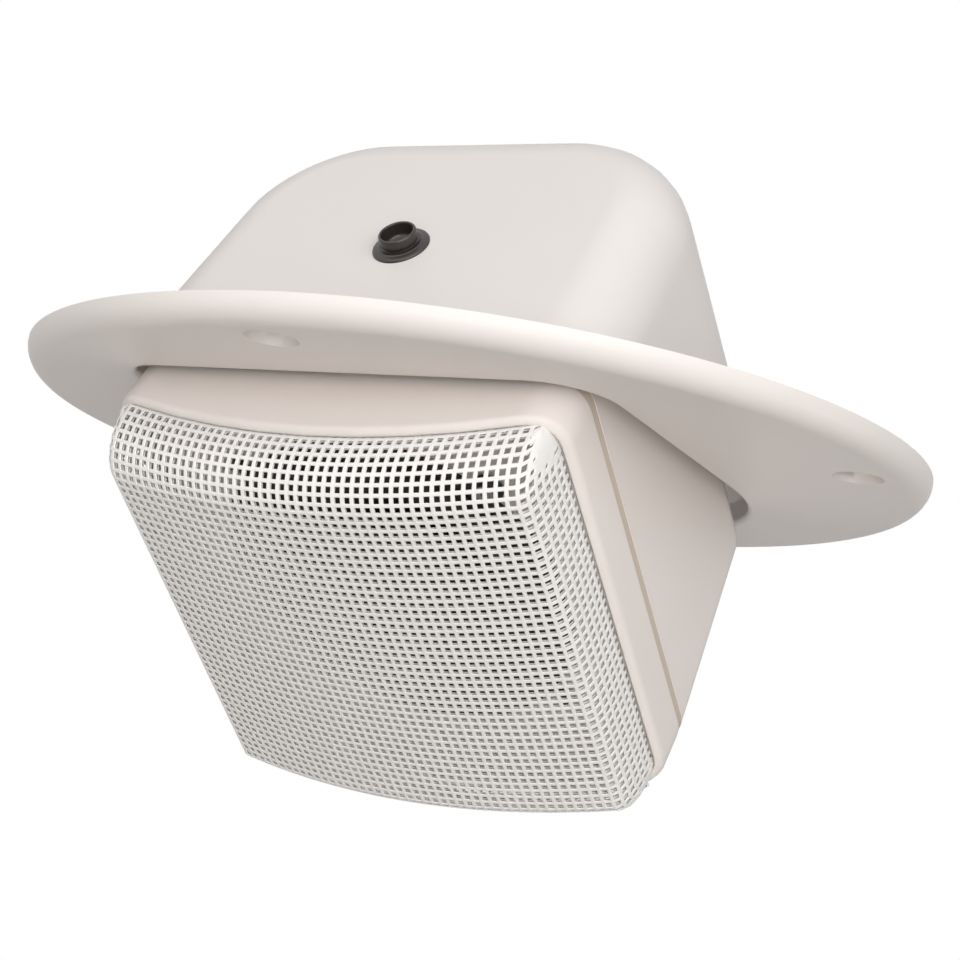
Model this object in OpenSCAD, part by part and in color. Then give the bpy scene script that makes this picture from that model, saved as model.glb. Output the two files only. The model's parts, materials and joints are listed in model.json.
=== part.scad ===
// Ceiling speaker: a small cabinet that tilts in the mouth of a flanged, hat-shaped housing.
// Millimetres. +Z points up into the ceiling and z = 0 is the back of the flange, against the
// ceiling. The origin is the centre of the flange. The grille faces -Y and down.

/* [Flange] */
// Outer diameter of the flange
flange_d = 300; // [290:1:330]
// Height of the flange below the ceiling
flange_h = 8; // [7.5:0.25:12]
// Radius of the rounded outer edge
flange_edge_r = 7.5; // [5:0.25:7.5]
// Thickness of the moulded walls
wall = 3; // [2.5:0.25:3.5]
// Diameter of the circle that the four screw holes lie on
screw_pcd = 263; // [258:1:268]
// Diameter of the screw holes
screw_hole_d = 5.2; // [4.2:0.1:5.6]
// Diameter of the shallow seat round each screw hole
screw_seat_d = 16; // [12:0.5:17]
// Depth of that seat
screw_seat_h = 1.5; // [0.5:0.25:2]
// Number of ribs behind the flange
flange_ribs = 16; // [8:4:24]

/* [Housing] */
// Angle that the grille points below the horizontal
aim = 54; // [52:0.5:56]
// Gap between the cabinet's sides and the inside of the housing where it meets the ceiling
side_gap = 4.2; // [3.5:0.1:6]
// Reach of the housing along its slope, from the grille opening to its top
housing_reach = 150.3; // [146:0.1:154]
// Gap between the cabinet's top and the inside of the housing's front wall
housing_gap = 6.7; // [6:0.1:8]
// Corner radius of the housing seen along its front wall
housing_corner_r = 48; // [42:1:50]
// Rounding between the front wall and the other walls
housing_edge_r = 21; // [16:1:24]
// Draft of the housing's side walls, in degrees from upright
housing_draft = 3.2; // [2:0.1:4]

/* [Cabinet] */
// Width of the cabinet
cabinet_w = 153; // [151:0.5:155]
// Height of the cabinet's front
cabinet_h = 153; // [151:0.5:155]
// Depth of the cabinet from the middle of the grille opening to its rear wall
cabinet_depth = 112; // [110:0.5:114]
// Corner radius of the cabinet's front
cabinet_corner_r = 12.5; // [10:0.5:16]
// Rounding of the cabinet's rear edges
cabinet_rear_r = 9; // [6:0.5:10]
// Draft of the cabinet's top and bottom walls, in degrees
cabinet_draft_v = 9; // [8:0.25:10]
// Draft of the cabinet's side walls, in degrees
cabinet_draft_x = 1; // [0.5:0.25:1.5]
// Distance of the seam behind the middle of the grille opening
seam_depth = 30.5; // [30:0.5:32]
// Width of the gasket strip in the seam
seam_w = 3.6; // [2.4:0.1:4.4]
// Distance that the gasket lies below the cabinet's skin
seam_inset = 0.3; // [0.1:0.1:0.8]
// How far the front edge bows back at the sides
front_bow = 12.3; // [8:0.1:13]

/* [Grille] */
// Width of the lip round the grille
lip = 3; // [2.5:0.1:3.5]
// How far the middle of the grille stands in front of its opening
grille_rise = 17.5; // [14:0.5:20]
// How far the rolled edge reaches in from the opening
grille_roll = 11; // [8:0.5:16]
// Bow of the grille's face from side to side
grille_bow = 10; // [4:0.5:14]
// Depth that the grille's skirt is tucked into the bezel
grille_tuck = 3; // [2:0.5:4]
// Thickness of the sheet
grille_t = 1.2; // [1:0.1:1.6]
// Gap between the grille's skirt and the bezel
grille_gap = 0.2; // [0.1:0.05:0.4]
// Openings across and down the face of the grille
gaps_x = 11; // [7:1:11]
gaps_v = 10; // [6:1:10]
// Share of each step across the face that is open
open_share = 0.7; // [0.5:0.05:0.75]

/* [Tilt pivot] */
// Distance of the pivot behind the grille opening
pivot_depth = 88; // [86:0.5:90]
// Distance of the pivot below the top of the grille opening
pivot_drop = 56; // [55:0.5:57]
// Diameter of the pivot screws
pivot_screw_d = 5; // [4:0.5:6]
// Clearance all round the screw where the housing turns on it
pivot_clearance = 0.05; // [0.02:0.01:0.1]
// Diameter of the pivot screw's head
pivot_head_d = 10; // [8.5:0.5:12]
// Height of the pivot screw's head
pivot_head_h = 3.6; // [2.5:0.1:4]
// Thickness of the friction washers
washer_t = 2; // [1.5:0.1:2.2]
// Outer diameter of the friction washers
washer_d = 15; // [13:0.5:16]
// Outer diameter of the threaded inserts
insert_d = 8; // [7.5:0.25:9]
// Length of the threaded inserts
insert_l = 10; // [8:0.5:12]

/* [Driver] */
// Outer diameter of the driver's round frame
driver_d = 118; // [116:0.5:120]
// Distance of the baffle's front face behind the grille opening
baffle_depth = 18; // [17.5:0.25:18.5]
// Thickness of the baffle
baffle_t = 4; // [3:0.5:5]
// Diameter of the voice coil's former
coil_d = 25.6; // [25:0.1:26]
// Diameter of the magnet
magnet_d = 70; // [64:1:76]
// Thickness of the magnet
magnet_t = 14; // [12:0.5:16]
// Radius of the circle that the driver's screws lie on
driver_screw_r = 61; // [60.5:0.25:61.5]

/* [Grommet] */
// Place of the grommet up the slope of the front wall
grommet_depth = 77; // [72:0.5:82]
// Diameter of the grommet's collar
grommet_collar_d = 18.5; // [17:0.5:20]
// Diameter of the grommet's nose
grommet_nose_d = 12.6; // [11:0.1:13]
// Height of the nose above the housing
grommet_nose_h = 5; // [4:0.25:6]
// Diameter of the cable hole
grommet_hole_d = 5.5; // [4.5:0.1:6]

/* [Hidden] */
$fn = 96;
// Overlap that joins the parts of one moulding, and the reach of a cut past a face
weld = 0.5;
cut = 1;
// Gap left all round a piece that fits in a hole
fit_gap = 0.05;

// The cabinet's own frame: its origin is the top of the grille opening in the middle, its Y runs
// back along the cabinet's depth and its Z runs up the grille
frame_y = -106;
frame_z = -28.9;
cabinet_over = 2.5;
module in_cabinet() translate([0, frame_y, frame_z]) rotate([aim, 0, 0]) children();
function world(p) = [p.x, frame_y + p.y * cos(aim) - p.z * sin(aim),
    frame_z + p.y * sin(aim) + p.z * cos(aim)];

// A loft through rings of equal length, each end closed by a fan round its middle. A closed loft
// joins its last ring to its first instead
function quads(a, b, n) = [for (i = [0:n - 1]) let (j = (i + 1) % n)
    each [[a + i, b + i, b + j], [a + i, b + j, a + j]]];
function mean(points) = [for (p = points) 1] * points / len(points);
module skin(rings, closed = false) {
    n = len(rings[0]);
    last = len(rings) - 1;
    sides = [for (k = [0:last - (closed ? 0 : 1)]) each quads(k * n, ((k + 1) % (last + 1)) * n, n)];
    middles = closed ? [] : [mean(rings[0]), mean(rings[last])];
    hub = (last + 1) * n;
    caps = closed ? [] : [for (i = [0:n - 1]) let (j = (i + 1) % n)
        each [[i, j, hub], [last * n + j, last * n + i, hub + 1]]];
    polyhedron(concat([for (ring = rings) each ring], middles), concat(sides, caps), convexity = 8);
}

// Points of a rounded rectangle in x and v, centred on v = middle
corner_steps = 6;
side_steps = 8;
function rounded(half_w, half_h, r, middle) = [
    for (side = [0:3])
        let (
            turn = 90 * side,
            across = side % 2 == 0,
            u = across ? half_w : half_h,
            w = across ? half_h : half_w
        )
        each concat(
            [for (i = [0:side_steps - 1]) let (s = (2 * i / side_steps - 1) * (w - r))
                [u * cos(turn) - s * sin(turn), u * sin(turn) + s * cos(turn) + middle]],
            [for (i = [0:corner_steps - 1]) let (a = 90 * i / corner_steps)
                [(u - r + r * cos(a)) * cos(turn) - (w - r + r * sin(a)) * sin(turn),
                 (u - r + r * cos(a)) * sin(turn) + (w - r + r * sin(a)) * cos(turn) + middle]]
        )
];

// Housing: as wide as the cabinet, the gaps beside it and the two walls
housing_w = cabinet_w + 2 * (side_gap + wall);
housing_half = housing_w / 2;
front_v = cabinet_over + housing_gap + wall;
function slope_at(v, z) = (z - frame_z - v * cos(aim)) / sin(aim);
function drafted(p, half) = let (q = world(p)) [q.x * (1 - q.z * tan(housing_draft) / half), q.y, q.z];
arch_steps = 12;
arch_share = 0.98;
// One section of the housing at a given v, drawn in by inset, standing on z = 0
function arch(v, inset) =
    let (
        half = housing_half - inset,
        r = housing_corner_r - inset,
        top = housing_reach - inset,
        foot = slope_at(v, 0),
        straight = foot < top - r,
        start = straight ? 0 : asin(min(arch_share, (foot - top + r) / r)),
        steps = straight ? arch_steps : arch_steps + 1,
        right = concat(
            straight ? [[half, foot]] : [],
            [for (i = [0:steps]) let (a = start + (90 - start) * i / steps)
                [half - r + r * cos(a), top - r + r * sin(a)]]
        )
    )
    concat([for (p = right) [-p.x, p.y]], [for (i = [len(right) - 1:-1:0]) right[i]]);
edge_steps = 6;
arch_rows = 10;
// The v at which the foot of a section lies a given distance up the slope
function foot_v(reach) = (-frame_z - reach * sin(aim)) / cos(aim);
// The sections, as v and inset: round the front edge, then back to where the roof meets the ceiling
function arch_sections(inset) =
    let (r = housing_edge_r - inset, front = front_v - inset, corner = housing_corner_r - inset)
    concat(
        [for (i = [0:edge_steps]) let (a = 90 * i / edge_steps)
            [front - r * (1 - cos(a)), inset + r * (1 - sin(a))]],
        [for (i = [0:arch_rows]) let (a = asin(arch_share) * i / arch_rows)
            [foot_v(housing_reach - inset - corner * (1 - sin(a))), inset]]
    );
module dome(inset) {
    half = housing_half - inset;
    rings = [for (s = arch_sections(inset))
        [for (p = arch(s[0], s[1])) drafted([p.x, p.y, s[0]], half)]];
    skin(rings);
}
// Outline of the housing, or of its mouth, on the plane of the ceiling
function foot_outline(inset) =
    let (left = [for (s = arch_sections(inset))
        let (p = arch(s[0], s[1])[0], q = world([p.x, p.y, s[0]])) [q.x, q.y]])
    concat(left, [for (i = [len(left) - 1:-1:0]) [-left[i].x, left[i].y]]);
module at_screws() for (turn = [0:90:270]) rotate(turn) translate([screw_pcd / 2, 0, 0]) children();

flange_r = flange_d / 2;
module flange_half(r, h, edge) {
    translate([0, -h]) square([r - edge, h]);
    translate([0, edge - h]) square([r, h - edge]);
    intersection() {
        translate([r - edge, edge - h]) circle(edge);
        translate([0, -h]) square([r, h]);
    }
}
module flange_solid(inset) translate([0, 0, inset > 0 ? cut : 0])
    rotate_extrude($fn = 180) flange_half(flange_r - inset, flange_h - inset + (inset > 0 ? cut : 0),
        flange_edge_r - inset);
rib_t = 2;
rib_gap = 1;
screw_boss_d = screw_seat_d + 2 * wall;
pivot_at = world([0, pivot_depth, -pivot_drop]);
cabinet_half = cabinet_w / 2;
pivot_skin = cabinet_half - (pivot_depth - seam_depth) * tan(cabinet_draft_x);
insert_proud = 2;
insert_end = pivot_skin + insert_proud;
washer_gap = 0.1;
washer_border = 1;
pivot_face_in = insert_end + washer_t + washer_gap;
pivot_boss_h = 2.8;
pivot_face_out = housing_half + pivot_boss_h;
pivot_boss_d = washer_d + 2 * washer_border;
module at_pivot(side) translate([0, pivot_at.y, pivot_at.z]) rotate([0, side * 90, 0]) children();

module housing() color("#e9e5e1") difference() {
    union() {
        difference() {
            dome(0);
            dome(wall);
        }
        difference() {
            union() {
                difference() {
                    flange_solid(0);
                    flange_solid(wall);
                }
                translate([0, 0, -flange_h]) linear_extrude(flange_h) polygon(foot_outline(0));
                at_screws() translate([0, 0, -flange_h]) cylinder(h = flange_h, d = screw_boss_d);
                for (i = [0:flange_ribs - 1]) rotate(360 * (i + 0.5) / flange_ribs)
                    translate([0, -rib_t / 2, -flange_h + wall - weld])
                        cube([flange_r - wall, rib_t, flange_h - wall + weld - rib_gap]);
            }
            translate([0, 0, -flange_h - cut]) linear_extrude(flange_h + 2 * cut)
                polygon(foot_outline(wall));
        }
        for (side = [-1, 1]) at_pivot(side) translate([0, 0, pivot_face_in])
            cylinder(h = pivot_face_out - pivot_face_in, d = pivot_boss_d);
    }
    at_screws() {
        translate([0, 0, -flange_h - cut]) cylinder(h = flange_h + 2 * cut, d = screw_hole_d);
        translate([0, 0, -flange_h - cut]) cylinder(h = screw_seat_h + cut, d = screw_seat_d);
    }
    for (side = [-1, 1]) at_pivot(side) {
        translate([0, 0, pivot_face_in - cut])
            cylinder(h = pivot_face_out - pivot_face_in + 2 * cut, d = pivot_screw_d + 2 * pivot_clearance);
        translate([0, 0, insert_end - cut])
            cylinder(h = pivot_face_in - insert_end + cut, d = pivot_boss_d);
    }
    at_grommet() translate([0, 0, -wall - cut])
        cylinder(h = wall + 2 * cut, d = grommet_neck_d + 2 * fit_gap);
}

// Grommet
grommet_neck_d = grommet_nose_d - 1;
grommet_collar_h = 1.2;
grommet_back_h = 1.6;
module at_grommet() in_cabinet() translate([0, grommet_depth, front_v]) children();
module cable_grommet() color("#3c3532") at_grommet() difference() {
    union() {
        cylinder(h = grommet_collar_h, d1 = grommet_collar_d, d2 = grommet_collar_d - 1.2);
        translate([0, 0, -wall]) cylinder(h = wall + grommet_collar_h, d = grommet_neck_d);
        translate([0, 0, grommet_collar_h]) rotate_extrude() grommet_nose();
        translate([0, 0, -wall - grommet_back_h]) cylinder(h = grommet_back_h, d = grommet_collar_d - 3);
    }
    translate([0, 0, -wall - grommet_back_h - cut])
        cylinder(h = wall + grommet_back_h + grommet_nose_h + 2 * cut, d = grommet_hole_d);
}
grommet_round = 1;
grommet_groove = 0.7;
module grommet_nose() {
    h = grommet_nose_h - grommet_collar_h;
    r = grommet_nose_d / 2;
    square([r - grommet_round, h]);
    translate([0, grommet_groove]) square([r, h - grommet_round - grommet_groove]);
    translate([r - grommet_round, h - grommet_round]) circle(grommet_round);
}

// Tilt pivot
pivot_shank = pivot_face_out - insert_end + insert_l - 2;
module pivot_screw(side) color("#b9b9b6") at_pivot(side) difference() {
    union() {
        translate([0, 0, pivot_face_out + washer_gap]) cylinder(h = pivot_head_h, d = pivot_head_d);
        translate([0, 0, pivot_face_out - pivot_shank])
            cylinder(h = pivot_shank + washer_gap + weld, d = pivot_screw_d);
    }
    translate([0, 0, pivot_face_out + washer_gap + pivot_head_h - 2.2])
        cylinder(h = 2.2 + cut, d = 4, $fn = 6);
}
module friction_washer(side) color("#4a4643") at_pivot(side) translate([0, 0, insert_end]) difference() {
    cylinder(h = washer_t, d = washer_d);
    translate([0, 0, -cut]) cylinder(h = washer_t + 2 * cut, d = pivot_screw_d);
}
module pivot_insert(side) color("#c8a858") at_pivot(side) translate([0, 0, insert_end - insert_l])
    difference() {
        cylinder(h = insert_l, d = insert_d);
        translate([0, 0, -cut]) cylinder(h = insert_l + 2 * cut, d = pivot_screw_d);
    }
module pivot_screw_left() pivot_screw(-1);
module pivot_screw_right() pivot_screw(1);
module friction_washer_left() friction_washer(-1);
module friction_washer_right() friction_washer(1);
module pivot_insert_left() pivot_insert(-1);
module pivot_insert_right() pivot_insert(1);

// Cabinet
middle_v = cabinet_over - cabinet_h / 2;
lip_half_w = cabinet_half - lip;
function bow(x) = front_bow * pow(x / lip_half_w, 2);
// A ring of the cabinet's front part: drawn in by inset, at depth d, following the bow by its share
function front_ring(inset, d, share) =
    [for (p = rounded(cabinet_half - inset, cabinet_h / 2 - inset, cabinet_corner_r - inset, middle_v))
        [p.x, d + share * bow(p.x), p.y]];
bezel_back = seam_depth - seam_w / 2;
cabinet_front = seam_depth + seam_w / 2;
lip_round = 2;
module plate(d, t, inset) translate([0, d + t, middle_v]) rotate([90, 0, 0]) linear_extrude(t)
    rounded_plate(cabinet_w - 2 * inset, cabinet_h - 2 * inset, cabinet_corner_r - inset);
module rounded_plate(w, h, r) {
    square([w - 2 * r, h], center = true);
    square([w, h - 2 * r], center = true);
    for (x = [-1, 1], y = [-1, 1]) translate([x * (w / 2 - r), y * (h / 2 - r)]) circle(r);
}
driver_hole_d = driver_d - 9;
module at_driver() translate([0, 0, middle_v]) rotate([-90, 0, 0]) children();
pillar_in_x = 12.5;
pillar_in_v = 14.5;
pillar_x = cabinet_half - pillar_in_x;
pillar_v = cabinet_h / 2 - pillar_in_v;
module at_pillars() for (x = [-1, 1], v = [-1, 1])
    translate([x * pillar_x, 0, middle_v + v * pillar_v]) rotate([-90, 0, 0]) children();
module at_driver_screws() at_driver() for (turn = [45:90:315]) rotate(turn)
    translate([driver_screw_r, 0, 0]) children();
cabinet_screw_d = 3;
driver_screw_d = 3;

module front_bezel() color("#e2dedb") in_cabinet() difference() {
    union() {
        skin([front_ring(0, bezel_back, 0), front_ring(0, lip_round, 1),
            front_ring(lip_round * 0.3, lip_round * 0.3, 1), front_ring(lip_round, 0, 1),
            front_ring(lip, 0.2, 1), front_ring(lip, bezel_back, 0)], closed = true);
        plate(baffle_depth, baffle_t, lip - weld);
    }
    at_driver() translate([0, 0, baffle_depth - cut]) cylinder(h = baffle_t + 2 * cut, d = driver_hole_d);
    at_driver_screws() translate([0, 0, baffle_depth - cut])
        cylinder(h = baffle_t + 2 * cut, d = driver_screw_d);
    at_pillars() translate([0, 0, baffle_depth - cut])
        cylinder(h = baffle_t + 2 * cut, d = cabinet_screw_d + 0.6);
}
module cabinet_gasket() color("#b8aa9c") in_cabinet() difference() {
    plate(bezel_back, seam_w, seam_inset);
    plate(bezel_back - cut, seam_w + 2 * cut, lip);
}

// A ring of the rear part, with both drafts, drawn in by inset
function rear_ring(inset, d) =
    [for (p = rounded(cabinet_half - (d - seam_depth) * tan(cabinet_draft_x) - inset,
            cabinet_h / 2 - (d - seam_depth) * tan(cabinet_draft_v) - inset,
            cabinet_corner_r - min(inset, wall), middle_v)) [p.x, d, p.y]];
rear_steps = 4;
function rear_end(inset) = [for (i = [rear_steps:-1:0]) let (a = 90 * i / rear_steps, r = cabinet_rear_r - inset)
    rear_ring(inset + r * (1 - cos(a)), cabinet_depth - inset - r * (1 - sin(a)))];
pillar_d = 9;
pivot_pad_d = washer_d + 1;
module rear_cabinet() color("#dedad6") in_cabinet() difference() {
    union() {
        skin(concat(rear_end(0), [rear_ring(0, cabinet_front), rear_ring(wall, cabinet_front)],
            [for (i = [rear_steps:-1:0]) rear_end(wall)[i]]));
        intersection() {
            at_pillars() translate([0, 0, baffle_depth + baffle_t])
                cylinder(h = cabinet_depth - baffle_depth - baffle_t - wall / 2, d = pillar_d);
            skin(concat(rear_end(wall / 2),
                [rear_ring(wall / 2, cabinet_front), rear_ring(wall + 0.2, cabinet_front),
                 rear_ring(wall + 0.2, baffle_depth + baffle_t)]));
        }
        for (side = [-1, 1]) translate([0, pivot_depth, -pivot_drop]) rotate([0, side * 90, 0]) {
            translate([0, 0, pivot_skin - wall / 2])
                cylinder(h = insert_end - pivot_skin + wall / 2, d = pivot_pad_d);
            translate([0, 0, insert_end - insert_l - 2])
                cylinder(h = insert_l + 2 - wall / 2, d = insert_d + 2 * wall);
        }
    }
    for (side = [-1, 1]) translate([0, pivot_depth, -pivot_drop]) rotate([0, side * 90, 0])
        translate([0, 0, insert_end - insert_l]) cylinder(h = insert_l + cut, d = insert_d);
    at_pillars() translate([0, 0, baffle_depth + baffle_t - cut])
        cylinder(h = 16 + cut, d = cabinet_screw_d);
    at_terminal_screws() translate([0, 0, cabinet_depth - wall - cut])
        cylinder(h = wall + 2 * cut, d = terminal_screw_d);
}

// Grille: a formed wall with a grid of openings in its face, a rolled edge and a tucked skirt
face_steps_x = 2 * gaps_x + 1;
face_steps_v = 2 * gaps_v + 1;
roll_steps = 5;
grille_half_w = lip_half_w - grille_gap;
grille_half_h = cabinet_h / 2 - lip - grille_gap;
grille_corner_r = cabinet_corner_r - lip - grille_gap;
// Place of the i-th line of a face with n openings, from -1 to 1: bars and openings in turn
function line_at(i, n) = let (bar = 1 - open_share, whole = n + bar)
    (floor(i / 2) + (i % 2) * bar) / whole * 2 - 1;
// A rounded rectangle's point for a point u, w on the edge of the unit square
function on_edge(u, w, half_w, half_h, r) =
    let (
        x = u * half_w,
        y = w * half_h,
        upright = abs(u) > abs(w) - 1e-9 && abs(abs(u) - 1) < 1e-9,
        level = abs(abs(w) - 1) < 1e-9,
        a = upright && level ? 45 : upright ? max(0, 1 - (half_h - abs(y)) / r) * 45
            : 90 - max(0, 1 - (half_w - abs(x)) / r) * 45,
        near = upright && level ? true : upright ? half_h - abs(y) < r : half_w - abs(x) < r
    )
    near ? [sign(x) * (half_w - r + r * cos(a)), sign(y) * (half_h - r + r * sin(a))] : [x, y];
function edge_loop() = concat(
    [for (j = [0:face_steps_v - 1]) [1, line_at(j, gaps_v)]],
    [for (i = [face_steps_x:-1:1]) [line_at(i, gaps_x), 1]],
    [for (j = [face_steps_v:-1:1]) [-1, line_at(j, gaps_v)]],
    [for (i = [0:face_steps_x - 1]) [line_at(i, gaps_x), -1]]);
function grille_loop(inset, r, d, share_flat, share_face) =
    [for (e = edge_loop())
        let (p = on_edge(e.x, e.y, grille_half_w - inset, grille_half_h - inset, r))
        [p.x, d + share_flat * bow(p.x) + share_face * grille_bow * pow(p.x / lip_half_w, 2),
            p.y + middle_v]];
// Loops from the skirt to the rim of the face, for the outer skin or the inner one
function grille_loops(t) = concat(
    [grille_loop(t, grille_corner_r - t, grille_tuck, 1, 0)],
    [for (k = [0:roll_steps])
        let (a = 90 * k / roll_steps, run = grille_roll - t, climb = grille_rise - t)
        grille_loop(t + run * (1 - cos(a)), max(grille_corner_r - t - 0.6 * run * (1 - cos(a)), 2),
            -climb * sin(a), 1 - sin(a), sin(a))]);
function face_point(i, j, t) =
    let (
        u = line_at(i, gaps_x),
        w = line_at(j, gaps_v),
        half_w = grille_half_w - grille_roll,
        half_h = grille_half_h - grille_roll,
        x = u * half_w
    )
    [x, t - grille_rise + grille_bow * pow(x / lip_half_w, 2), w * half_h + middle_v];
function face_id(i, j) =
    let (nx = face_steps_x, nv = face_steps_v)
    i == nx && j < nv ? j
    : j == nv && i > 0 ? nv + nx - i
    : i == 0 && j > 0 ? nv + nx + nv - j
    : j == 0 && i < nx ? nv + nx + nv + i
    : 2 * (nx + nv) + (i - 1) * (nv - 1) + j - 1;
function is_gap(i, j) = i % 2 == 1 && j % 2 == 1;
// Each skin of the grille has its loops first, the last of them the rim of the face, then the
// points inside the face
loop_n = 2 * (face_steps_x + face_steps_v);
loop_rows = roll_steps + 2;
skin_n = loop_rows * loop_n + (face_steps_x - 1) * (face_steps_v - 1);
function id(i, j, side) = side * skin_n + (loop_rows - 1) * loop_n + face_id(i, j);
module grille() color("#f2f0ec") in_cabinet() {
    n = loop_n;
    rows = loop_rows;
    points = [for (side = [0, 1]) let (t = side * grille_t)
        each concat(
            [for (loop = grille_loops(t)) each loop],
            [for (i = [1:face_steps_x - 1]) for (j = [1:face_steps_v - 1]) face_point(i, j, t)])];
    walls = [for (k = [0:rows - 2]) each concat(
        quads(k * n, (k + 1) * n, n),
        quads(skin_n + (k + 1) * n, skin_n + k * n, n))];
    skirt = quads(skin_n, 0, n);
    cells = [for (i = [0:face_steps_x - 1]) for (j = [0:face_steps_v - 1]) each is_gap(i, j)
        ? let (c = [[i, j], [i + 1, j], [i + 1, j + 1], [i, j + 1]])
            [for (s = [0:3]) let (p = c[s], q = c[(s + 1) % 4]) each
                [[id(p.x, p.y, 0), id(q.x, q.y, 1), id(q.x, q.y, 0)],
                 [id(p.x, p.y, 0), id(p.x, p.y, 1), id(q.x, q.y, 1)]]]
        : [[id(i, j, 0), id(i, j + 1, 0), id(i + 1, j + 1, 0)],
           [id(i, j, 0), id(i + 1, j + 1, 0), id(i + 1, j, 0)],
           [id(i, j, 1), id(i + 1, j + 1, 1), id(i, j + 1, 1)],
           [id(i, j, 1), id(i + 1, j, 1), id(i + 1, j + 1, 1)]]];
    polyhedron(points, concat(walls, skirt, cells), convexity = 12);
}

// Driver, turned about its own axis: r from the axis, then depth behind the grille opening
frame_r = driver_d / 2;
gasket_t = 1;
frame_back = baffle_depth - gasket_t;
frame_t = 1.6;
frame_front = frame_back - frame_t;
basket_end = 50;
plate_t = 5;
magnet_front = basket_end + plate_t;
magnet_back = magnet_front + magnet_t;
yoke_t = 5;
coil_r = coil_d / 2;
coil_wall = 0.7;
pole_gap = 0.4;
module turned(points) at_driver() rotate_extrude() polygon(points);
module ring(inner, outer, d, t) turned([[inner, d], [outer, d], [outer, d + t], [inner, d + t]]);
neck_r = 38;
neck_t = 1.6;
shelf_d = 41.6;
shelf_w = 5;
land_w = 9;
land_r = frame_r - land_w;
coil_way = 1.5;
ear_r = 5;
window_w = 34;
window_h = 15;
window_d = 30;
module driver_basket() color("#4b4c4e") in_cabinet() difference() {
    union() {
        turned([[land_r, frame_front], [frame_r, frame_front], [frame_r, frame_back],
            [driver_hole_d / 2 - 0.9, frame_back], [neck_r, shelf_d], [neck_r, basket_end],
            [coil_r + coil_wall + coil_way, basket_end],
            [coil_r + coil_wall + coil_way, basket_end - frame_t],
            [neck_r - neck_t, basket_end - frame_t], [neck_r - neck_t, shelf_d + frame_t],
            [neck_r - neck_t - shelf_w, shelf_d + frame_t], [neck_r - neck_t - shelf_w, shelf_d],
            [neck_r - 2, shelf_d], [land_r + 1.2, frame_back + 0.2], [land_r, frame_back + 0.2]]);
        at_driver_screws() translate([0, 0, frame_front]) cylinder(h = frame_t, r = ear_r);
    }
    at_driver_screws() translate([0, 0, frame_front - cut])
        cylinder(h = frame_t + 2 * cut, d = driver_screw_d);
    at_driver() for (turn = [0:90:270]) rotate(turn) translate([neck_r - 4, 0, window_d])
        cube([30, window_w, window_h], center = true);
}
// How much smaller the plates are than the magnet, and the clearance round the coil in the magnet
plate_in = 5;
magnet_clear = 4.5;
plate_r = magnet_d / 2 - plate_in;
magnet_hole_r = coil_r + coil_wall + magnet_clear;
module driver_top_plate() color("#8f9194") in_cabinet()
    ring(coil_r + coil_wall + pole_gap, plate_r, basket_end, plate_t);
module driver_magnet() color("#3a3a3c") in_cabinet()
    ring(magnet_hole_r, magnet_d / 2, magnet_front, magnet_t);
module driver_yoke() color("#8f9194") in_cabinet() {
    pole = coil_r - pole_gap;
    turned([[0, basket_end], [pole, basket_end], [pole, magnet_back], [plate_r, magnet_back],
        [plate_r, magnet_back + yoke_t], [0, magnet_back + yoke_t]]);
}
// The cone runs from a flat rim to its neck on the coil, along a gentle curve
cone_r = land_r - 4;
cone_t = 0.6;
whizzer_r = 26;
whizzer_d = 19.5;
cone_neck_d = 36.4;
cone_steps = 10;
function flare(r_out, d_out, r_in, d_in, power) = [for (i = [0:cone_steps]) let (s = i / cone_steps)
    [r_out + (r_in - r_out) * s, d_out + (d_in - d_out) * pow(s, power)]];
function thick(line, t) = concat(line, [for (i = [len(line) - 1:-1:0]) line[i] + [0, t]]);
module driver_cone() color("#5a554f") in_cabinet()
    turned(thick(concat([[cone_r, frame_front]],
        flare(cone_r - 2, frame_front, coil_r + coil_wall, cone_neck_d, 1.15)), cone_t));
module whizzer_cone() color("#6a645c") in_cabinet()
    turned(thick(flare(whizzer_r, whizzer_d, coil_r + coil_wall, cone_neck_d - cone_t, 1.3), cone_t));
cap_rise = 6;
module dust_cap() color("#3f3c39") in_cabinet() {
    front = cone_neck_d - 1.2;
    line = [for (i = [0:8]) let (a = 90 * i / 8) [(coil_r + coil_wall) * sin(a), front - cap_rise * cos(a)]];
    turned(thick(line, cone_t));
}
// The coil's former reaches from the cone's neck to a little behind the top plate
coil_past = 1.4;
module voice_coil() color("#a8632c") in_cabinet()
    ring(coil_r, coil_r + coil_wall, cone_neck_d - cone_t, magnet_front + coil_past - cone_neck_d + cone_t);
module surround() color("#2e2c2b") in_cabinet() {
    t = 0.8;
    roll_r = 2.8;
    roll_at = cone_r + roll_r + 0.1;
    lip_d = frame_front - t;
    arc = [for (i = [0:10]) let (a = 180 * i / 10) [roll_at - roll_r * cos(a), lip_d - roll_r * sin(a)]];
    turned(thick(concat([[cone_r - 2, lip_d]], arc, [[land_r + land_w / 2, lip_d]]), t));
}
module spider() color("#b58a3c") in_cabinet() {
    inner = coil_r + coil_wall;
    outer = neck_r - 2.2;
    waves = 4;
    steps = 10 * waves;
    t = 0.5;
    height = 0.7;
    line = [for (i = [0:steps]) let (s = i / steps)
        [inner + (outer - inner) * s, shelf_d - t - height * (1 - cos(360 * waves * s)) / 2]];
    turned(thick(line, t));
}
module driver_gasket() color("#57534f") in_cabinet()
    ring(driver_hole_d / 2 + 0.7, frame_r, frame_back, gasket_t);
tab_w = 14;
tab_t = 2;
tab_l = 8;
tab_d = basket_end - 4;
module driver_terminals() color("#7a4a2a") in_cabinet()
    translate([-tab_w / 2, tab_d, middle_v - neck_r - tab_l]) cube([tab_w, tab_t, tab_l]);

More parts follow.
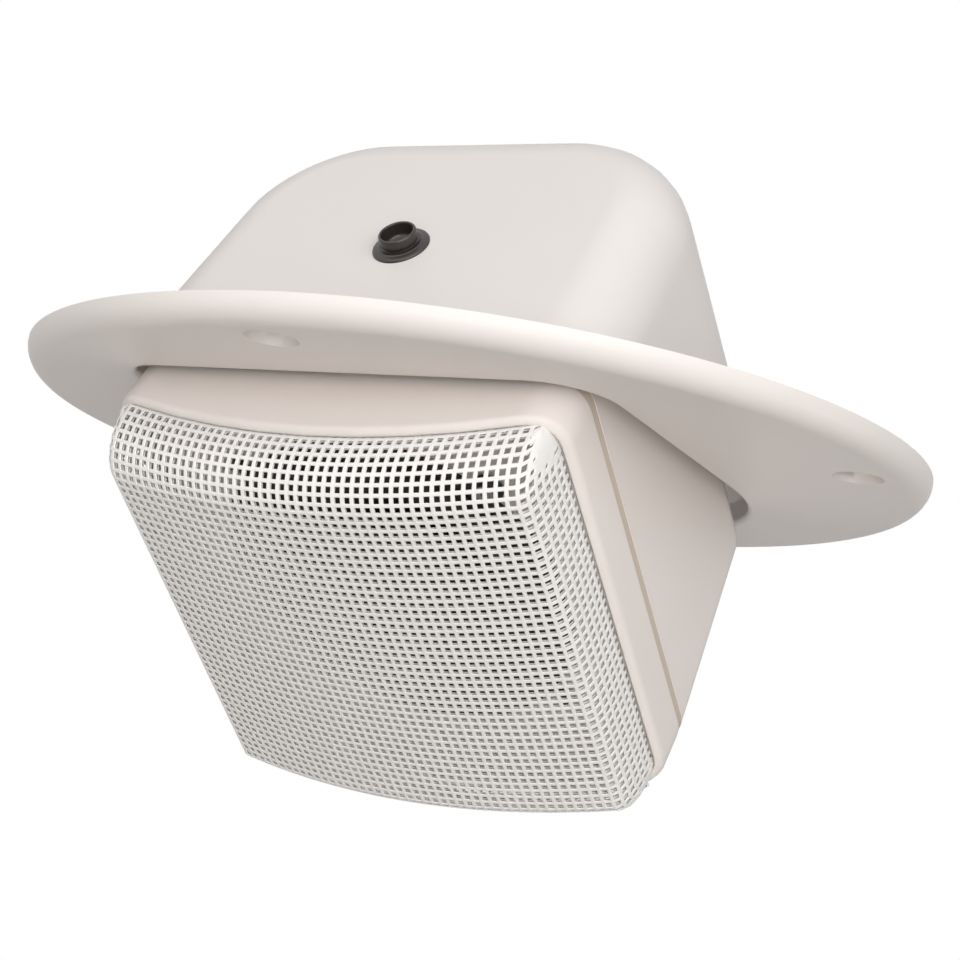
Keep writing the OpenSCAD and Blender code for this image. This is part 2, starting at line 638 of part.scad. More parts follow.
// Screws
head_h = 1.8;
module pan_screw(d, l, head) {
    difference() {
        translate([0, 0, -head_h]) cylinder(h = head_h, d = head);
        translate([0, 0, -head_h - cut]) cylinder(h = 1 + cut, d = 2.4, $fn = 6);
    }
    cylinder(h = l, d = d);
}
module driver_screws() color("#77787a") in_cabinet()
    at_driver_screws() translate([0, 0, frame_front]) pan_screw(driver_screw_d, 10, 6);
module cabinet_screws() color("#77787a") in_cabinet()
    at_pillars() translate([0, 0, baffle_depth]) pan_screw(cabinet_screw_d, 18, 6);

// Rear of the cabinet
terminal_w = 34;
terminal_v = 20;
terminal_h = 7;
terminal_pitch = 16;
terminal_screw_d = 3;
terminal_tail = 4;
module at_terminal_screws() for (x = [-1, 1])
    translate([x * terminal_pitch / 2, 0, middle_v]) rotate([-90, 0, 0]) children();
module terminal_block() color("#35322f") in_cabinet() difference() {
    translate([-terminal_w / 2, cabinet_depth, middle_v - terminal_v / 2])
        cube([terminal_w, terminal_h, terminal_v]);
    at_terminal_screws() {
        translate([0, 0, cabinet_depth - cut]) cylinder(h = terminal_h + 2 * cut, d = terminal_screw_d);
        translate([0, 0, cabinet_depth + terminal_h - 3]) cylinder(h = 3 + cut, d = 8);
    }
}
module terminal_screws() color("#c8a858") in_cabinet()
    at_terminal_screws() difference() {
        union() {
            translate([0, 0, cabinet_depth + terminal_h - 3]) cylinder(h = 2.2, d = 6.4);
            translate([0, 0, cabinet_depth - wall - terminal_tail])
                cylinder(h = terminal_h + wall + terminal_tail - 2.5, d = terminal_screw_d);
        }
        translate([0, 0, cabinet_depth + terminal_h - 1.8])
            cube([8, 0.8, 2], center = true);
    }
pad_w = 108;
pad_v = 96;
pad_t = 18;
pad_r = 10;
pad_window = 44;
pad_window_v = 30;
pad_front = cabinet_depth - wall - pad_t;
module damping_pad() color("#d8d8d4") in_cabinet() difference() {
    translate([0, cabinet_depth - wall, middle_v]) rotate([90, 0, 0]) linear_extrude(pad_t)
        rounded_plate(pad_w, pad_v, pad_r);
    translate([-pad_window / 2, pad_front - cut, middle_v - pad_window_v / 2])
        cube([pad_window, pad_t + 2 * cut, pad_window_v]);
}
// Two leads, from the terminal screws round the magnet to the tab on the driver
lead_r = 0.9;
lead_sides = 8;
function unit(v) = v / norm(v);
function along(points, i) = unit(points[min(i + 1, len(points) - 1)] - points[max(i - 1, 0)]);
module lead(points) skin([for (i = [0:len(points) - 1])
    let (t = along(points, i), n = unit(cross(t, [1, 0, 0])), b = cross(t, n))
    [for (k = [0:lead_sides - 1]) let (a = 360 * k / lead_sides)
        points[i] + lead_r * (cos(a) * n + sin(a) * b)]]);
lead_start = cabinet_depth - wall - terminal_tail - fit_gap;
lead_end = tab_d + tab_t + fit_gap;
lead_straight = 3;
lead_drop = 8;
lead_clear = 9;
lead_pitch = 8;
// The leads drop half way between the yoke and the pad, then pass the magnet's lower edge
lead_turn = (magnet_back + yoke_t + pad_front) / 2;
lead_low = magnet_d / 2 + lead_clear;
module lead_wires() color("#a33a32") in_cabinet()
    for (x = [-1, 1]) translate([0, 0, middle_v]) lead([
        [x * terminal_pitch / 2, lead_start, 0],
        [x * terminal_pitch / 2, lead_start - lead_straight, 0],
        [x * terminal_pitch / 2, lead_turn, -lead_drop],
        [x * terminal_pitch / 2, lead_turn, -lead_low + lead_drop],
        [x * (terminal_pitch + lead_pitch) / 4, magnet_front + magnet_t / 2, -lead_low],
        [x * lead_pitch / 2, lead_end + lead_straight, -neck_r - tab_l / 2],
        [x * lead_pitch / 2, lead_end, -neck_r - tab_l / 2]]);

housing();
cable_grommet();
pivot_screw_left();
pivot_screw_right();
friction_washer_left();
friction_washer_right();
pivot_insert_left();
pivot_insert_right();
front_bezel();
cabinet_gasket();
rear_cabinet();
grille();
driver_basket();
driver_top_plate();
driver_magnet();
driver_yoke();
driver_cone();
whizzer_cone();
dust_cap();
voice_coil();
surround();
spider();
driver_gasket();
driver_terminals();
driver_screws();
cabinet_screws();
damping_pad();
terminal_block();
terminal_screws();
lead_wires();
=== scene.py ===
import json
import math

import bpy
from mathutils import Matrix, Vector

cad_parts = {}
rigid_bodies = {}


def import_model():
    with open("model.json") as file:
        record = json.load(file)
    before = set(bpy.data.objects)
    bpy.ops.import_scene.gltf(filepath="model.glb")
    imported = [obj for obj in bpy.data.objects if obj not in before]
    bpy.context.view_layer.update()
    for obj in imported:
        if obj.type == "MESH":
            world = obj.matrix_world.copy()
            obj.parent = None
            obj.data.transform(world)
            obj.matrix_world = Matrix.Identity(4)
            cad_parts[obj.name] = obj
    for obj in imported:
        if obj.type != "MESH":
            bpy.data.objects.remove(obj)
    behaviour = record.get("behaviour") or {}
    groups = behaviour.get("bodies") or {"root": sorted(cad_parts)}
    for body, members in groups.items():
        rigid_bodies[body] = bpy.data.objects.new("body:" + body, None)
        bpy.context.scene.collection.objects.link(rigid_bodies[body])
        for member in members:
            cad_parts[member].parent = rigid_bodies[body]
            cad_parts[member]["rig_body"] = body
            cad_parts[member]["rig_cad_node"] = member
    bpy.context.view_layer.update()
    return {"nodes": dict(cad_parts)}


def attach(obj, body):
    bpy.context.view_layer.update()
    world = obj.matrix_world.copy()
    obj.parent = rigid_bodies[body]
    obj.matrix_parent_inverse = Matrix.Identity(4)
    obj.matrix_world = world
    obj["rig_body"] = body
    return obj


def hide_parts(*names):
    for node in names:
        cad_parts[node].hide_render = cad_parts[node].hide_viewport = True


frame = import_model()
bpy.ops.object.select_all(action="DESELECT")
scene = bpy.context.scene
MM = 0.001
for node in frame["nodes"].values():
    node.data.materials.clear()
for plain in list(bpy.data.materials):
    bpy.data.materials.remove(plain)

# The photograph's camera, from a fit to the flange, the housing and the cabinet
camera_data = bpy.data.cameras.new("camera")
camera_data.sensor_width = 36
camera_data.lens = 73.53
camera = bpy.data.objects.new("camera", camera_data)
scene.collection.objects.link(camera)
azimuth, elevation, roll = (math.radians(a) for a in (27.14, -10.466, 9.187))
towards = Vector((math.sin(azimuth) * math.cos(elevation), -math.cos(azimuth) * math.cos(elevation),
                  math.sin(elevation)))
right = (-towards).cross(Vector((0, 0, 1))).normalized()
up = right.cross(-towards)
camera_right = math.cos(roll) * right + math.sin(roll) * up
camera_up = math.cos(roll) * up - math.sin(roll) * right
place = Vector((-37.14, 79.53, 0)) * MM + towards * 0.74493
facing = Matrix((camera_right, camera_up, towards)).transposed().to_4x4()
camera.matrix_world = Matrix.Translation(place) @ facing
camera_data.clip_start = 0.01
scene.camera = camera

# The cabinet's own directions: across, back along its depth, and up the grille
AIM = math.radians(54)
FRONT = Vector((0, -106, -28.9))
BACK = Vector((0, math.cos(AIM), math.sin(AIM)))
UP = Vector((0, -math.sin(AIM), math.cos(AIM)))


def in_cabinet(x, depth, height):
    """A place given across the cabinet, behind its front and up from its top edge, in millimetres."""
    return (FRONT + Vector((x, 0, 0)) + BACK * depth + UP * height) * MM


# Materials
def group_tree(name, inputs, outputs):
    tree = bpy.data.node_groups.new(name, "ShaderNodeTree")
    for label, kind, value in inputs:
        socket = tree.interface.new_socket(name=label, in_out="INPUT", socket_type=kind)
        socket.default_value = value
    for label, kind in outputs:
        tree.interface.new_socket(name=label, in_out="OUTPUT", socket_type=kind)
    return tree, tree.nodes.new("NodeGroupInput"), tree.nodes.new("NodeGroupOutput")


def maths(tree, operation, a, b, clamp=False):
    node = tree.nodes.new("ShaderNodeMath")
    node.operation = operation
    node.use_clamp = clamp
    for socket, value in zip(node.inputs, (a, b)):
        if isinstance(value, (int, float)):
            socket.default_value = value
        else:
            tree.links.new(value, socket)
    return node.outputs[0]


def mixed(tree, share, a, b):
    node = tree.nodes.new("ShaderNodeMix")
    node.data_type = "RGBA"
    for socket, value in ((node.inputs[0], share), (node.inputs[6], a), (node.inputs[7], b)):
        if isinstance(value, (int, float, tuple)):
            socket.default_value = value
        else:
            tree.links.new(value, socket)
    return node.outputs[2]


def noise(tree, vector, scale, detail=2.0, roughness=0.5):
    node = tree.nodes.new("ShaderNodeTexNoise")
    node.inputs["Detail"].default_value = detail
    node.inputs["Roughness"].default_value = roughness
    if isinstance(scale, (int, float)):
        node.inputs["Scale"].default_value = scale
    else:
        tree.links.new(scale, node.inputs["Scale"])
    tree.links.new(vector, node.inputs["Vector"])
    return node.outputs["Fac"]


def finish_group():
    """Colour variation and surface grain for every finish: broad drift, fine grain and fine specks."""
    tree, given, out = group_tree(
        "surface_finish",
        [("Position", "NodeSocketVector", (0, 0, 0)), ("Colour", "NodeSocketColor", (0.8, 0.8, 0.8, 1)),
         ("Second Colour", "NodeSocketColor", (0.7, 0.7, 0.7, 1)), ("Drift", "NodeSocketFloat", 0.3),
         ("Drift Scale", "NodeSocketFloat", 18.0), ("Specks", "NodeSocketFloat", 0.1),
         ("Grain Scale", "NodeSocketFloat", 900.0), ("Gloss", "NodeSocketFloat", 0.45),
         ("Gloss Drift", "NodeSocketFloat", 0.08)],
        [("Colour", "NodeSocketColor"), ("Roughness", "NodeSocketFloat"), ("Height", "NodeSocketFloat")])
    position = given.outputs["Position"]
    broad = noise(tree, position, given.outputs["Drift Scale"], 3.0, 0.55)
    grain = noise(tree, position, given.outputs["Grain Scale"], 2.0, 0.6)
    share = maths(tree, "MULTIPLY", maths(tree, "SUBTRACT", maths(tree, "MULTIPLY", broad, 2.4), 0.7, True),
                  given.outputs["Drift"])
    colour = mixed(tree, share, given.outputs["Colour"], given.outputs["Second Colour"])
    specks = maths(tree, "MULTIPLY", maths(tree, "SUBTRACT", maths(tree, "MULTIPLY", grain, 3.0), 1.4, True),
                   given.outputs["Specks"])
    colour = mixed(tree, specks, colour, given.outputs["Second Colour"])
    gloss = maths(tree, "ADD", given.outputs["Gloss"],
                  maths(tree, "MULTIPLY", maths(tree, "SUBTRACT", broad, 0.5), given.outputs["Gloss Drift"]))
    tree.links.new(colour, out.inputs["Colour"])
    tree.links.new(gloss, out.inputs["Roughness"])
    tree.links.new(grain, out.inputs["Height"])
    return tree


surface_finish = finish_group()


def linear(r, g, b):
    """A colour of the sRGB scale of 255, as the shader takes it."""
    return tuple(c / 3294.6 if c <= 10.31 else ((c / 255 + 0.055) / 1.055) ** 2.4 for c in (r, g, b)) + (1,)


def material(name, colour, second, gloss, bump=0.0, grain=900.0, drift=0.3, drift_scale=18.0, specks=0.1,
             gloss_drift=0.08, **sockets):
    """A finish with its colours, roughness, grain and the shader's own settings."""
    made = bpy.data.materials.new(name)
    made.use_nodes = True
    tree = made.node_tree
    shader = tree.nodes["Principled BSDF"]
    place = tree.nodes.new("ShaderNodeTexCoord")
    look = tree.nodes.new("ShaderNodeGroup")
    look.node_tree = surface_finish
    tree.links.new(place.outputs["Object"], look.inputs["Position"])
    for label, value in (("Colour", linear(*colour)), ("Second Colour", linear(*second)), ("Drift", drift),
                         ("Drift Scale", drift_scale), ("Specks", specks), ("Grain Scale", grain),
                         ("Gloss", gloss), ("Gloss Drift", gloss_drift)):
        look.inputs[label].default_value = value
    tree.links.new(look.outputs["Colour"], shader.inputs["Base Color"])
    tree.links.new(look.outputs["Roughness"], shader.inputs["Roughness"])
    if bump:
        bumped = tree.nodes.new("ShaderNodeBump")
        bumped.inputs["Strength"].default_value = bump
        bumped.inputs["Distance"].default_value = 0.0002
        tree.links.new(look.outputs["Height"], bumped.inputs["Height"])
        tree.links.new(bumped.outputs["Normal"], shader.inputs["Normal"])
    for label, value in sockets.items():
        shader.inputs[label.replace("_", " ")].default_value = value
    return made


housing_plastic = material("housing_plastic", (237, 231, 227), (233, 227, 222), 0.48, bump=0.12, grain=1500)
cabinet_plastic = material("cabinet_plastic", (240, 232, 227), (235, 227, 221), 0.5, bump=0.12, grain=1500)
grille_paint = material("grille_paint", (243, 241, 238), (238, 236, 232), 0.4, bump=0.2, grain=1200)
gasket_foam = material("gasket_foam", (213, 200, 186), (200, 186, 171), 0.85, bump=0.5, grain=2200)
grommet_rubber = material("grommet_rubber", (46, 40, 38), (58, 51, 49), 0.34, bump=0.15, grain=1400)
washer_rubber = material("washer_rubber", (58, 54, 52), (74, 70, 68), 0.7, bump=0.3, grain=1800)
screw_steel = material("screw_steel", (186, 187, 186), (160, 160, 158), 0.28, bump=0.1, grain=1800,
                       Metallic=1.0)
brass = material("brass", (205, 172, 102), (178, 146, 82), 0.3, bump=0.1, grain=1600, Metallic=1.0)
basket_steel = material("basket_steel", (44, 45, 47), (58, 59, 61), 0.5, bump=0.15, grain=1600)
plated_steel = material("plated_steel", (168, 170, 172), (146, 148, 150), 0.32, bump=0.12, grain=1500,
                        Metallic=1.0)
ferrite = material("ferrite", (52, 52, 54), (66, 66, 68), 0.62, bump=0.5, grain=1300)
paper_cone = material("paper_cone", (58, 54, 50), (78, 73, 67), 0.88, bump=0.6, grain=700, specks=0.5)
coil_copper = material("coil_copper", (176, 104, 56), (150, 84, 42), 0.35, bump=0.3, grain=2600, Metallic=1.0)
surround_rubber = material("surround_rubber", (36, 34, 34), (50, 48, 47), 0.6, bump=0.25, grain=1500)
spider_cloth = material("spider_cloth", (188, 148, 78), (160, 122, 60), 0.85, bump=0.8, grain=1900)
board = material("board", (150, 96, 60), (128, 80, 48), 0.6, bump=0.3, grain=1500)
wadding = material("wadding", (222, 221, 216), (200, 198, 192), 0.95, bump=0.9, grain=600, specks=0.5)
terminal_plastic = material("terminal_plastic", (52, 49, 47), (64, 61, 58), 0.5, bump=0.15, grain=1400)
lead_sleeve = material("lead_sleeve", (168, 52, 44), (150, 44, 38), 0.45, bump=0.1, grain=1500)

NODE_FINISH = {
    "housing": housing_plastic, "cable_grommet": grommet_rubber, "pivot_screw_left": screw_steel,
    "pivot_screw_right": screw_steel, "friction_washer_left": washer_rubber,
    "friction_washer_right": washer_rubber, "pivot_insert_left": brass, "pivot_insert_right": brass,
    "front_bezel": cabinet_plastic, "cabinet_gasket": gasket_foam, "rear_cabinet": cabinet_plastic,
    "grille": grille_paint, "driver_basket": basket_steel, "driver_top_plate": plated_steel,
    "driver_magnet": ferrite, "driver_yoke": plated_steel, "driver_cone": paper_cone,
    "whizzer_cone": paper_cone, "dust_cap": paper_cone, "voice_coil": coil_copper,
    "surround": surround_rubber, "spider": spider_cloth, "driver_gasket": gasket_foam,
    "driver_terminals": board, "driver_screws": screw_steel, "cabinet_screws": screw_steel,
    "damping_pad": wadding, "terminal_block": terminal_plastic, "terminal_screws": brass,
    "lead_wires": lead_sleeve,
}
for name, finish in NODE_FINISH.items():
    frame["nodes"][name].data.materials.append(finish)


def only(piece):
    """Select this piece alone and make it the active one."""
    bpy.ops.object.select_all(action="DESELECT")
    piece.select_set(True)
    bpy.context.view_layer.objects.active = piece


def dressed(piece, body, finish, *nodes):
    """Give a finished piece its material, its body and the CAD nodes that it stands for."""
    piece.data.materials.clear()
    piece.data.materials.append(finish)
    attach(piece, body)
    if nodes:
        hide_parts(*nodes)
    return piece


def edit(piece, mode="EDGE"):
    """Open this piece alone in edit mode, picking by edge or by face."""
    only(piece)
    bpy.ops.object.mode_set(mode="EDIT")
    bpy.ops.mesh.select_mode(type=mode)


def done():
    """Leave edit mode."""
    bpy.ops.object.mode_set(mode="OBJECT")


def merged_copy(name):
    """A CAD node's own shape as a piece of its own, with merged points and whole flat faces."""
    piece = frame["nodes"][name].copy()
    piece.data = piece.data.copy()
    piece.name = name + "_shell"
    scene.collection.objects.link(piece)
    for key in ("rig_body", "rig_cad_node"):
        if key in piece:
            del piece[key]
    piece.parent = None
    edit(piece)
    bpy.ops.mesh.select_all(action="SELECT")
    bpy.ops.mesh.remove_doubles(threshold=0.00001)
    bpy.ops.mesh.dissolve_limited(angle_limit=math.radians(0.2))
    done()
    return piece


def smoothed(piece, angle):
    """Smooth shading over curves, and broad faces that stay even beside them."""
    only(piece)
    bpy.ops.object.shade_smooth_by_angle(angle=math.radians(angle))
    even = piece.modifiers.new("even", "WEIGHTED_NORMAL")
    even.keep_sharp = True
    bpy.ops.object.modifier_apply(modifier=even.name)


def pick_edges(piece, wanted):
    """Select the edges both of whose ends are wanted, given their places in millimetres."""
    edit(piece)
    bpy.ops.mesh.select_all(action="DESELECT")
    done()
    spots = [wanted(corner.co / MM) for corner in piece.data.vertices]
    for line in piece.data.edges:
        line.select = spots[line.vertices[0]] and spots[line.vertices[1]]
    edit(piece)


# Smooth copies of curved pieces
for name, body in (("rear_cabinet", "cabinet"), ("cabinet_gasket", "cabinet"), ("driver_basket", "cabinet"),
                   ("driver_cone", "cone"), ("whizzer_cone", "cone"), ("dust_cap", "cone"),
                   ("surround", "cone"), ("spider", "cone")):
    shell = merged_copy(name)
    smoothed(shell, 35)
    dressed(shell, body, NODE_FINISH[name], name)

# Housing: the mouth gets its soft edge and the screw seats their full depth
FLANGE_H = 8.0
SEAT_Z = -6.5
SEAT_RAISE = 2.0
SEATS_FROM = 120
MOUTH_EDGE = 2.2
MOUTH_SIDE = 88
MOUTH_FRONT = -112
MOUTH_BACK = 122
CLOSE = 0.01


def mouth_rim(p):
    """Whether a point of the housing, in millimetres, lies on the rim of its mouth."""
    return abs(p.z + FLANGE_H) < CLOSE and abs(p.x) < MOUTH_SIDE and MOUTH_FRONT < p.y < MOUTH_BACK


shell = merged_copy("housing")
for corner in shell.data.vertices:
    if abs(corner.co.z / MM - SEAT_Z) < CLOSE and corner.co.xy.length > SEATS_FROM * MM:
        corner.co.z += SEAT_RAISE * MM
pick_edges(shell, mouth_rim)
bpy.ops.mesh.bevel(offset=MOUTH_EDGE * MM, segments=5, profile=0.5, affect="EDGES")
done()
smoothed(shell, 32)
dressed(shell, "housing", housing_plastic, "housing")

# Bezel: finer rounding of its front edge
BEZEL_BOW = 12.3
BEZEL_LIP = 73.5
BEZEL_STEP = 0.6
BEZEL_ROUND = 0.45
BEZEL_CLOSE = 0.03


def bezel_rim(p):
    """Whether a point of the bezel lies on either line of its bowed front edge."""
    depth = (Vector(p) - FRONT).dot(BACK) - BEZEL_BOW * (p.x / BEZEL_LIP) ** 2
    return min(abs(depth), abs(depth - BEZEL_STEP)) < BEZEL_CLOSE


shell = merged_copy("front_bezel")
edit(shell, "FACE")
bpy.ops.mesh.select_all(action="SELECT")
bpy.ops.mesh.tris_convert_to_quads(face_threshold=math.radians(30), shape_threshold=math.radians(50))
done()
pick_edges(shell, bezel_rim)
bpy.ops.mesh.bevel(offset=BEZEL_ROUND * MM, segments=2, profile=0.5, affect="EDGES")
done()
smoothed(shell, 48)
dressed(shell, "cabinet", cabinet_plastic, "front_bezel")


def turned(name, profile, sides, place, axis):
    """A turned piece from a closed profile of radius and height, drawn ring by ring."""
    bpy.ops.mesh.primitive_circle_add(vertices=sides, radius=profile[0][0], location=(0, 0, profile[0][1]))
    piece = bpy.context.active_object
    piece.name = piece.data.name = name
    bpy.ops.object.transform_apply(location=True)
    edit(piece)
    bpy.ops.mesh.select_all(action="SELECT")
    for (radius, height), (next_radius, next_height) in zip(profile, profile[1:] + profile[:1]):
        bpy.ops.mesh.extrude_edges_move(TRANSFORM_OT_translate={"value": (0, 0, next_height - height)})
        share = next_radius / radius
        bpy.ops.transform.resize(value=(share, share, 1), center_override=(0, 0, 0))
    bpy.ops.mesh.select_all(action="SELECT")
    bpy.ops.mesh.remove_doubles(threshold=0.001)
    bpy.ops.mesh.normals_make_consistent(inside=False)
    done()
    turn =Vector((0, 0, 1)).rotation_difference(axis).to_matrix().to_4x4()
    piece.data.transform(Matrix.Translation(place * MM) @ turn @ Matrix.Scale(MM, 4))
    return piece


# Cable grommet: thin collar, groove, barrel with a cupped end, neck through the wall and back flange
GROMMET_DEPTH = 77
GROMMET_RISE = 12.2
GROMMET_SIDES = 64
GROMMET_AT = FRONT + BACK * GROMMET_DEPTH + UP * GROMMET_RISE
GROMMET = [(9.2, 0.0), (9.25, 0.3), (9.1, 0.65), (8.7, 0.9), (7.6, 1.08), (7.2, 1.16), (7.0, 1.32),
           (6.75, 1.36), (6.5, 1.26), (6.2, 1.22), (5.7, 1.3), (5.5, 1.5), (5.55, 1.72), (5.85, 1.95),
           (6.05, 2.2), (6.14, 2.7), (6.18, 3.6), (6.14, 4.6), (6.04, 5.05), (5.84, 5.34), (5.6, 5.47),
           (5.38, 5.44), (5.22, 5.3), (5.14, 5.0), (5.1, 4.4), (5.06, 1.9), (4.9, 1.2), (4.4, 0.7),
           (3.6, 0.4), (2.95, 0.2), (2.75, 0.0), (2.75, -4.6), (7.5, -4.6), (7.75, -4.35),
           (7.75, -3.25), (7.5, -3.02), (5.8, -3.0), (5.8, -0.02)]
barrel = turned("grommet", GROMMET, GROMMET_SIDES, GROMMET_AT, UP)
smoothed(barrel, 50)
dressed(barrel, "housing", grommet_rubber, "cable_grommet")

# The grille: a sheet with square holes, pressed over a form, and its cut edge tucked into the bezel
HOLE_PITCH = 3.02
HOLE = 1.75
SHEET = 1.5
CHAMFER = 0.22
CHAMFER_SLOPE = 1.3
SMALLEST = 0.42
SHRINK_FROM = 1.75
SHRINK_RATE = 3.4
BLANK_CORNER = 0.4
HALF_W = 73.0
HALF_H = 73.1
MIDDLE = -74.0
RISE = 17.6
SIDE_ROLL = 4.5
TOP_ROLL = 14.4
BOTTOM_ROLL = 10.4
CORNER_POWER = 2.3
FACE_BOW = 10.0
EDGE_BOW = 12.3
SKIRT = 3.2
SKIRT_RATE = 10
ROLL_STEPS = 48
NORMAL_STEP = 0.05


def roll_lengths(reach):
    """Lengths of sheet from the start of a rolled edge to each step round it."""
    lengths = [0.0]
    for i in range(ROLL_STEPS):
        a, b = (math.pi / 2 * k / ROLL_STEPS for k in (i, i + 1))
        lengths.append(lengths[-1] + math.hypot(reach * (math.sin(b) - math.sin(a)),
                                                RISE * (math.cos(b) - math.cos(a))))
    return lengths


ROLLS = {reach: roll_lengths(reach) for reach in (SIDE_ROLL, TOP_ROLL, BOTTOM_ROLL)}


def round_edge(length, half, reach):
    """Where a point of the flat sheet goes: its place across the opening, how far round the rolled edge
    it is, from 0 to 1, and how far it has gone down the skirt."""
    flat = half - reach
    over = abs(length) - flat
    if over <= 0:
        return length, 0.0, 0.0
    lengths = ROLLS[reach]
    if over >= lengths[-1]:
        return math.copysign(half, length), 1.0, over - lengths[-1]
    i = next(k for k in range(ROLL_STEPS) if lengths[k + 1] > over)
    part = (i + (over - lengths[i]) / (lengths[i + 1] - lengths[i])) / ROLL_STEPS
    share = math.sin(math.pi / 2 * part)
    return math.copysign(flat + reach * share, length), share, 0.0


def pressed(u, w):
    """A point of the pressed surface for a point of the flat sheet, across and up from its middle, and
    how far it is round a corner."""
    reach = TOP_ROLL if w > 0 else BOTTOM_ROLL
    x, tx, drop_x = round_edge(u, HALF_W, SIDE_ROLL)
    v, tv, drop_v = round_edge(w, HALF_H, reach)
    t = (tx ** CORNER_POWER + tv ** CORNER_POWER) ** (1 / CORNER_POWER)
    drop = max(drop_x, drop_v)
    if t > 1:
        x -= math.copysign(SIDE_ROLL * tx * (1 - 1 / t), x)
        v -= math.copysign(reach * tv * (1 - 1 / t), v)
        drop = min(drop + (t - 1) * SKIRT_RATE, SKIRT)
        t = 1.0
    lift = math.sqrt(1 - t * t)
    bow = (x / HALF_W) ** 2
    depth = -RISE * lift + bow * (FACE_BOW * lift + EDGE_BOW * (1 - lift)) + min(drop, SKIRT)
    return Vector((x, depth, v + MIDDLE)), tx * tv


def pressed_grille():
    """A flat sheet of square holes, smaller towards the corners, pressed to shape and given its thickness."""
    edge_u =HALF_W - SIDE_ROLL + ROLLS[SIDE_ROLL][-1] + SKIRT
    top = HALF_H - TOP_ROLL + ROLLS[TOP_ROLL][-1] + SKIRT
    bottom = -(HALF_H - BOTTOM_ROLL + ROLLS[BOTTOM_ROLL][-1] + SKIRT)
    columns = 2 * int(edge_u / HOLE_PITCH) + 1
    rows = int((top - bottom) / HOLE_PITCH)
    bpy.ops.mesh.primitive_grid_add(x_subdivisions=columns, y_subdivisions=rows, size=1)
    piece = bpy.context.active_object
    piece.name = piece.data.name = "grille_sheet"
    middle = (top + bottom) / 2
    for corner in piece.data.vertices:
        corner.co.x *= columns * HOLE_PITCH
        corner.co.y = corner.co.y * rows * HOLE_PITCH + middle
    edit(piece, "FACE")
    bpy.ops.mesh.select_all(action="SELECT")
    bpy.ops.mesh.inset(thickness=(HOLE_PITCH - HOLE) / 2 - CHAMFER, use_individual=True)
    done()
    holes = [face for face in piece.data.polygons if face.select]
    for face in holes:
        corner = pressed(face.center.x, face.center.y)[1]
        size = min(1, max(SMALLEST, SHRINK_FROM - SHRINK_RATE * corner))
        face.select = corner < BLANK_CORNER
        for index in face.vertices:
            spot = piece.data.vertices[index]
            spot.select = face.select
            spot.co.xy = face.center.xy + (spot.co.xy - face.center.xy) * size
    for line in piece.data.edges:
        line.select = all(piece.data.vertices[index].select for index in line.vertices)
    bpy.ops.object.mode_set(mode="EDIT")
    bpy.ops.mesh.inset(thickness=CHAMFER, depth=-CHAMFER * CHAMFER_SLOPE, use_individual=True)
    bpy.ops.mesh.delete(type="FACE")
    done()
    for spot in piece.data.vertices:
        u, w, out = spot.co
        here = pressed(u, w)[0]
        across = pressed(u + NORMAL_STEP, w)[0] - pressed(u - NORMAL_STEP, w)[0]
        upward = pressed(u, w + NORMAL_STEP)[0] - pressed(u, w - NORMAL_STEP)[0]
        normal = across.cross(upward)
        normal = normal.normalized() if normal.length > 1e-6 else Vector((0, -1, 0))
        spot.co = in_cabinet(*(here + normal * out))
    wall = piece.modifiers.new("sheet", "SOLIDIFY")
    wall.thickness = SHEET * MM
    wall.offset = -1
    bpy.ops.object.modifier_apply(modifier=wall.name)
    bpy.ops.object.shade_smooth_by_angle(angle=math.radians(52))
    return dressed(piece, "cabinet", grille_paint, "grille")


pressed_grille()

def seen_directly(tree):
    """1 for a ray from the camera, or one that is mirrored or let through, and 0 for light in the room."""
    path = tree.nodes.new("ShaderNodeLightPath")
    mirrored = maths(tree, "MAXIMUM", path.outputs["Is Camera Ray"], path.outputs["Is Glossy Ray"])
    return maths(tree, "MAXIMUM", mirrored, path.outputs["Is Transmission Ray"])


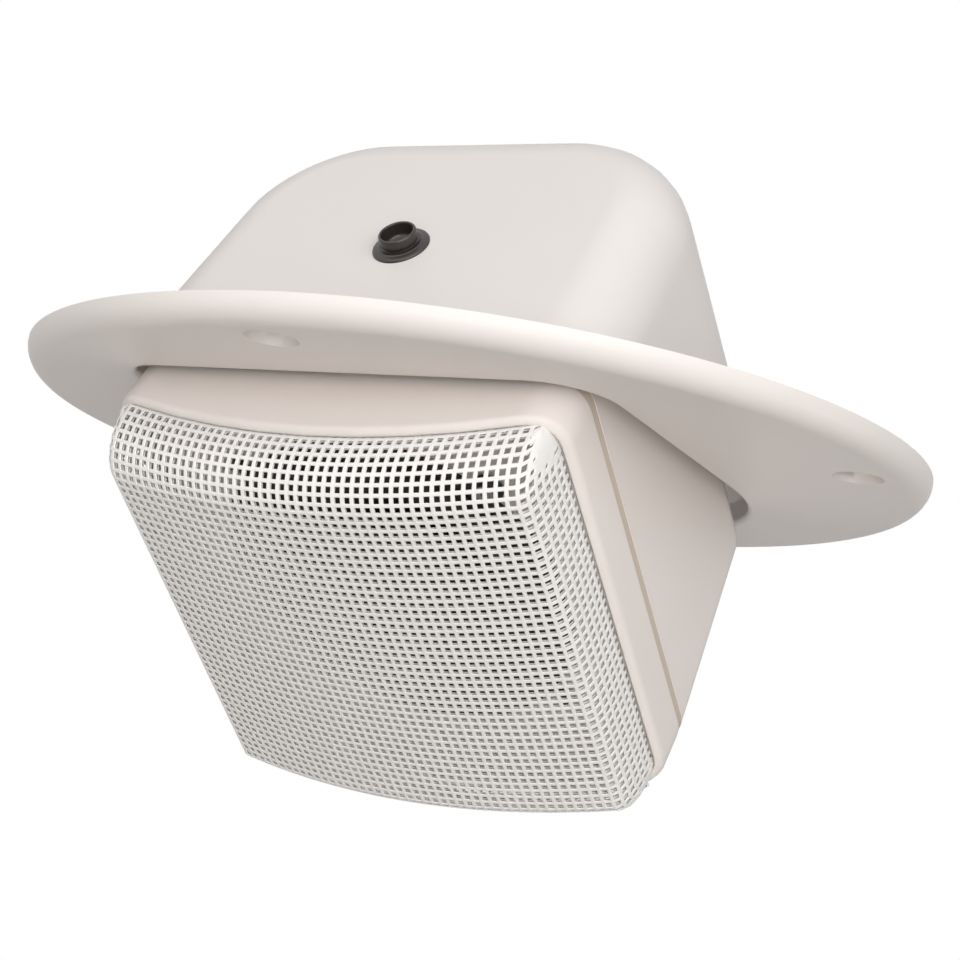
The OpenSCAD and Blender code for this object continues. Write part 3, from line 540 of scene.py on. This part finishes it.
# Floor, lights and background
FLOOR_SIZE = 12
FLOOR_Z = -0.7
FLOOR_GLOW = 1.15
FLOOR_GLOW_SHARE = 0.85
ROOM_LIGHT = 0.12
bpy.ops.mesh.primitive_plane_add(size=FLOOR_SIZE, location=(0, 0, FLOOR_Z))
floor = bpy.context.active_object
floor.name = "floor"
bpy.ops.object.transform_apply(location=True)
floor_paper = bpy.data.materials.new("floor_paper")
floor_paper.use_nodes = True
tree = floor_paper.node_tree
shader = tree.nodes["Principled BSDF"]
shader.inputs["Base Color"].default_value = (0.8, 0.77, 0.74, 1)
shader.inputs["Roughness"].default_value = 0.9
glow = tree.nodes.new("ShaderNodeEmission")
glow.inputs["Strength"].default_value = FLOOR_GLOW
blend = tree.nodes.new("ShaderNodeMixShader")
tree.links.new(maths(tree, "MULTIPLY", seen_directly(tree), FLOOR_GLOW_SHARE), blend.inputs[0])
tree.links.new(shader.outputs[0], blend.inputs[1])
tree.links.new(glow.outputs[0], blend.inputs[2])
tree.links.new(blend.outputs[0], tree.nodes["Material Output"].inputs["Surface"])
floor.data.materials.append(floor_paper)

world = bpy.data.worlds.new("studio")
world.use_nodes = True
scene.world = world
tree = world.node_tree
sky = tree.nodes["Background"]
sky.inputs["Color"].default_value = (1, 1, 1, 1)
tree.links.new(maths(tree, "MAXIMUM", seen_directly(tree), ROOM_LIGHT), sky.inputs["Strength"])


def lamp(name, place, target, size, power):
    """A square soft lamp that points at its target."""
    data = bpy.data.lights.new(name, "AREA")
    data.size = size
    data.energy = power
    lamp_object = bpy.data.objects.new(name, data)
    scene.collection.objects.link(lamp_object)
    lamp_object.location = place
    lamp_object.rotation_euler = (Vector(target) - Vector(place)).to_track_quat("-Z", "Y").to_euler()


lamp("front", (0.9, -1.7, -0.2), (0, -0.03, -0.03), 1.3, 19)
lamp("left", (-0.7, -1.7, 0.9), (0, -0.03, 0), 1.3, 7.7)
lamp("above", (0.5, -1.4, 1.4), (0, -0.03, 0), 1.3, 4.9)
lamp("right", (1.6, -1.2, 0.5), (0, -0.03, 0), 1.2, 14.2)

scene.view_settings.view_transform = "Standard"
